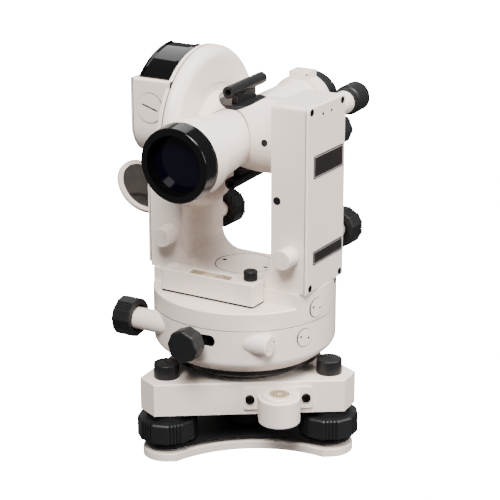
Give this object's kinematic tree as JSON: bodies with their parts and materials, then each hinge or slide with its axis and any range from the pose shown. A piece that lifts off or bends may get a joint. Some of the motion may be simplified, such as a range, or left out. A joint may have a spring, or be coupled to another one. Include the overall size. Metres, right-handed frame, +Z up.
{
  "type": "theodolite",
  "caption": "Optical theodolite with a tilting telescope between two standards on a turning base with levelling foot screws, for measuring horizontal and vertical angles.",
  "frame": {"origin": "mouth of the tripod thread in the underside of the base plate, on the vertical axis", "axes": "+Z up along the vertical axis; +X along the trunnion axis towards the plain standard; the objective looks towards -Y"},
  "size_m": [0.1826, 0.2037, 0.2826],
  "materials": {
    "white_paint": "semi-gloss enamel",
    "black_paint": "satin black",
    "black_plastic": "satin moulded",
    "black_gloss": "glossy",
    "steel": "ground",
    "dark_steel": "blackened",
    "aluminium": "machined",
    "brass": "machined",
    "rubber": "matt",
    "glass": "clear",
    "mirror": "silvered"
  },
  "bodies": {
    "base": {"base_plate": "white_paint", "spring_plate": "black_paint", "tribrach_body": "white_paint", "foot_screw_bushes": "black_paint", "circular_level_housing": "white_paint", "circular_level_vial": "glass", "circular_level_screws": "dark_steel", "axis_sleeve": "steel", "centring_cone": "black_paint", "horizontal_circle": "glass"},
    "alidade": {"vertical_spindle": "steel", "lower_housing": "white_paint", "upper_frame": "white_paint", "right_cover": "white_paint", "left_cover": "white_paint", "light_window": "glass", "cover_screws": "dark_steel", "plate_level_housing": "white_paint", "plate_level_vial": "glass", "level_gasket": "rubber", "body_plugs": "white_paint", "horizontal_drive_housings": "white_paint", "standard_drive_housings": "white_paint", "circle_housing": "white_paint", "circle_cover": "white_paint", "index_hood": "black_gloss", "trunnion_bearings": "brass"},
    "telescope": {"telescope_body": "white_paint", "trunnion_axle": "steel", "vertical_circle": "glass", "objective_ring": "black_paint", "objective_lens": "glass", "rear_ring": "white_paint", "sights": "black_paint", "microscope_tube": "white_paint"},
    "mirror_tilt": {"mirror_frame": "white_paint", "mirror_glass": "mirror"},
    "index": {"index_frame": "aluminium", "index_vial": "glass"},
    "foot_screw_1": {"foot_screw_1": "black_plastic"},
    "foot_screw_2": {"foot_screw_2": "black_plastic"},
    "foot_screw_3": {"foot_screw_3": "black_plastic"},
    "adjuster": {"level_adjuster": "black_paint"},
    "across_knob": {"horizontal_tangent_knob": "black_plastic"},
    "across_pin": {"horizontal_tangent_pin": "steel"},
    "across_plunger": {"horizontal_plunger": "steel"},
    "collar": {"clamp_collar": "aluminium"},
    "across_clamp": {"horizontal_clamp_knob": "black_plastic"},
    "vertical_knob": {"vertical_tangent_knob": "black_plastic"},
    "vertical_pin": {"vertical_tangent_pin": "steel"},
    "vertical_push": {"vertical_plunger": "steel"},
    "clamp_arm": {"vertical_clamp_arm": "aluminium"},
    "vertical_clamp": {"vertical_clamp_knob": "black_plastic"},
    "index_knob": {"index_tangent_knob": "black_plastic"},
    "index_pin": {"index_tangent_pin": "steel"},
    "index_push": {"index_plunger": "steel"},
    "mirror_swivel": {"mirror_ring": "white_paint"},
    "focus": {"focus_ring": "black_plastic"},
    "eyepiece": {"telescope_eyepiece": "black_plastic"},
    "reading_eyepiece": {"microscope_eyepiece": "black_plastic"}
  },
  "joints": [
    {"name": "foot_screw_1_turn", "type": "hinge", "parent": "base", "child": "foot_screw_1", "pos_m": [-0.02831, -0.05962, 0.022], "axis": [0, 0, 1], "range_deg": [-1080, 1080]},
    {"name": "foot_screw_2_turn", "type": "hinge", "parent": "base", "child": "foot_screw_2", "pos_m": [0.06579, 0.00529, 0.022], "axis": [0, 0, 1], "range_deg": [-1080, 1080]},
    {"name": "foot_screw_3_turn", "type": "hinge", "parent": "base", "child": "foot_screw_3", "pos_m": [-0.03748, 0.05433, 0.022], "axis": [0, 0, 1], "range_deg": [-1080, 1080]},
    {"name": "alidade_turn", "type": "hinge", "parent": "base", "child": "alidade", "pos_m": [0, 0, 0.069], "axis": [0, 0, 1], "continuous": true},
    {"name": "adjuster_turn", "type": "hinge", "parent": "alidade", "child": "adjuster", "pos_m": [0.0255, -0.0353, 0.1315], "axis": [0, 0, 1], "range_deg": [-720, 720]},
    {"name": "across_drive", "type": "hinge", "parent": "alidade", "child": "across_knob", "pos_m": [-0.06, -0.0497, 0.0926], "axis": [1, 0, 0], "range_deg": [-1800, 1800]},
    {"name": "vertical_drive", "type": "hinge", "parent": "alidade", "child": "vertical_knob", "pos_m": [0.0515, 0.045, 0.1511], "axis": [0, -1, 0], "range_deg": [-1800, 1800]},
    {"name": "index_drive", "type": "hinge", "parent": "alidade", "child": "index_knob", "pos_m": [-0.0453, 0.045, 0.1511], "axis": [0, -1, 0], "range_deg": [-1800, 1800]},
    {"name": "across_pin_slide", "type": "slide", "parent": "alidade", "child": "across_pin", "axis": [1, 0, 0], "range_m": [-0.0026, 0.0026]},
    {"name": "across_plunger_slide", "type": "slide", "parent": "alidade", "child": "across_plunger", "axis": [1, 0, 0], "range_m": [-0.0026, 0.0026]},
    {"name": "vertical_pin_slide", "type": "slide", "parent": "alidade", "child": "vertical_pin", "axis": [0, -1, 0], "range_m": [-0.0026, 0.0026]},
    {"name": "vertical_plunger_slide", "type": "slide", "parent": "alidade", "child": "vertical_push", "axis": [0, -1, 0], "range_m": [-0.0026, 0.0026]},
    {"name": "index_pin_slide", "type": "slide", "parent": "alidade", "child": "index_pin", "axis": [0, -1, 0], "range_m": [-0.0026, 0.0026]},
    {"name": "index_plunger_slide", "type": "slide", "parent": "alidade", "child": "index_push", "axis": [0, -1, 0], "range_m": [-0.0026, 0.0026]},
    {"name": "collar_turn", "type": "hinge", "parent": "alidade", "child": "collar", "pos_m": [0, 0, 0.084], "axis": [0, 0, 1], "range_deg": [-3, 3]},
    {"name": "across_clamp_turn", "type": "hinge", "parent": "collar", "child": "across_clamp", "pos_m": [0, -0.06, 0.0935], "axis": [0, -1, 0], "range_deg": [-90, 90]},
    {"name": "clamp_arm_turn", "type": "hinge", "parent": "alidade", "child": "clamp_arm", "pos_m": [0.0515, 0, 0.2251], "axis": [1, 0, 0], "range_deg": [-2, 2]},
    {"name": "vertical_clamp_turn", "type": "hinge", "parent": "clamp_arm", "child": "vertical_clamp", "pos_m": [0.0515, 0.0267, 0.2251], "axis": [0, 1, 0], "range_deg": [-90, 90]},
    {"name": "index_turn", "type": "hinge", "parent": "alidade", "child": "index", "pos_m": [-0.0453, 0, 0.2251], "axis": [1, 0, 0], "range_deg": [-2, 2]},
    {"name": "mirror_swivel_turn", "type": "hinge", "parent": "alidade", "child": "mirror_swivel", "pos_m": [-0.0637, -0.008, 0.181], "axis": [1, 0, 0], "range_deg": [-90, 90]},
    {"name": "mirror_tilt_turn", "type": "hinge", "parent": "mirror_swivel", "child": "mirror_tilt", "pos_m": [-0.0665, -0.0037, 0.16024], "axis": [0, 0.9792, 0.2028], "range_deg": [-45, 40]},
    {"name": "telescope_turn", "type": "hinge", "parent": "alidade", "child": "telescope", "pos_m": [0, 0, 0.2251], "axis": [1, 0, 0], "range_deg": [-50, 225]},
    {"name": "focus_turn", "type": "hinge", "parent": "telescope", "child": "focus", "pos_m": [0, 0.09442, 0.22889], "axis": [0, 0.9992, 0.0401], "range_deg": [-170, 170]},
    {"name": "eyepiece_turn", "type": "hinge", "parent": "telescope", "child": "eyepiece", "pos_m": [0, 0.10591, 0.22935], "axis": [0, 0.9992, 0.0401], "range_deg": [-120, 120]},
    {"name": "reading_eyepiece_turn", "type": "hinge", "parent": "telescope", "child": "reading_eyepiece", "pos_m": [0.0335, 0.09376, 0.23287], "axis": [0, 0.9992, 0.0401], "range_deg": [-120, 120]}
  ],
  "couplings": [
    {"joint": "across_pin_slide", "follows": "across_drive", "m_per_rad": 0.000079577},
    {"joint": "across_plunger_slide", "follows": "across_drive", "m_per_rad": 0.000079577},
    {"joint": "vertical_pin_slide", "follows": "vertical_drive", "m_per_rad": 0.000079577},
    {"joint": "vertical_plunger_slide", "follows": "vertical_drive", "m_per_rad": 0.000079577},
    {"joint": "index_pin_slide", "follows": "index_drive", "m_per_rad": 0.000079577},
    {"joint": "index_plunger_slide", "follows": "index_drive", "m_per_rad": 0.000079577},
    {"joint": "collar_turn", "follows": "across_drive", "ratio": 0.0016012},
    {"joint": "clamp_arm_turn", "follows": "vertical_drive", "ratio": -0.0010754},
    {"joint": "index_turn", "follows": "index_drive", "ratio": -0.0010754}
  ]
}
